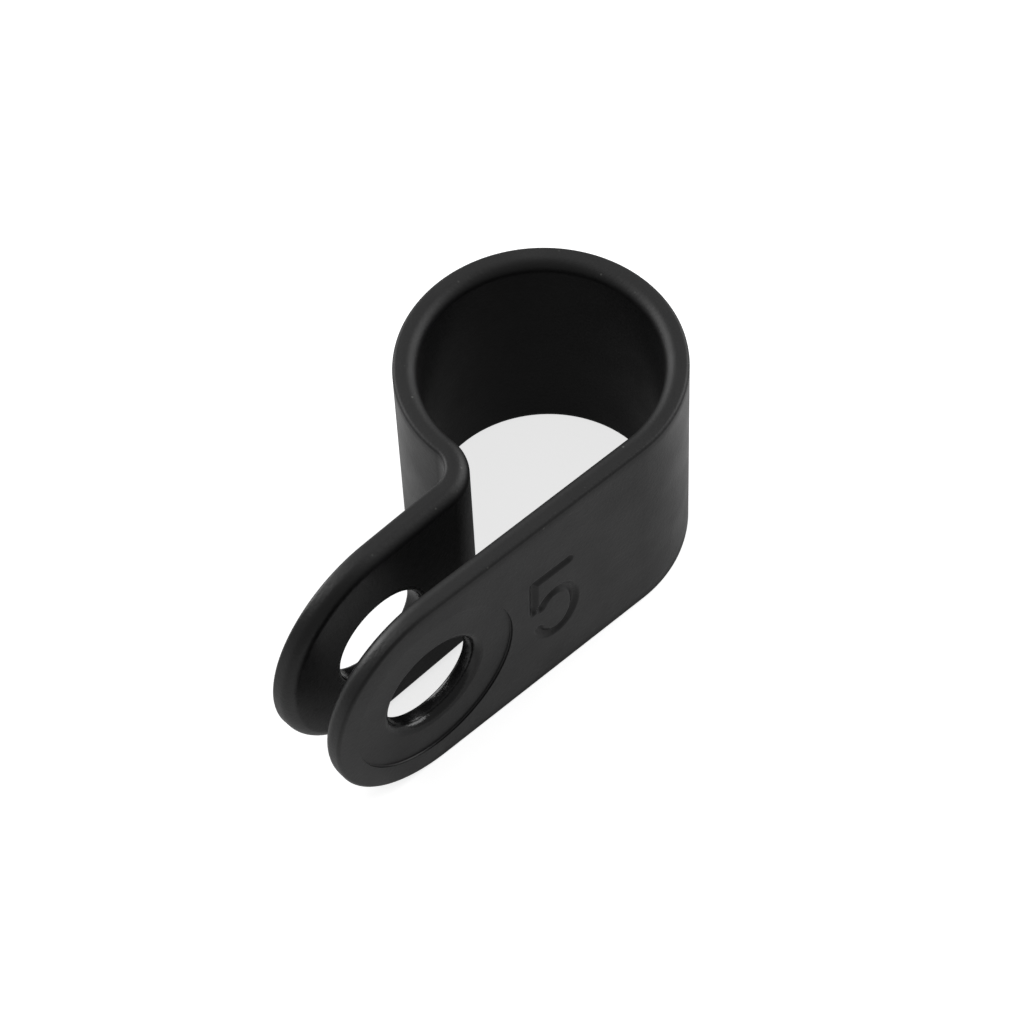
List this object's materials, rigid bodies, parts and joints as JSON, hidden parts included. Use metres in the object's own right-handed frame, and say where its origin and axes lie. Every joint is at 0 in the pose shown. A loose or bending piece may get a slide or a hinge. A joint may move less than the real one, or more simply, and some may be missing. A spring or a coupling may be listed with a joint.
{
  "type": "p clip",
  "caption": "One-piece moulded P-clip: a strip bent into a cable loop, closing in two parallel round-ended tabs with a screw hole.",
  "frame": {"origin": "on the axis of the cable loop, at the edge of the strip that the clip stands on", "axes": "+Z along the loop's axis, away from the surface it stands on; the flat tab's outer face looks towards -Y and the tabs reach towards -X"},
  "size_m": [0.021, 0.0113, 0.01],
  "materials": {
    "black_nylon": "matte"
  },
  "bodies": {
    "root": {"clip": "black_nylon"}
  },
  "joints": []
}
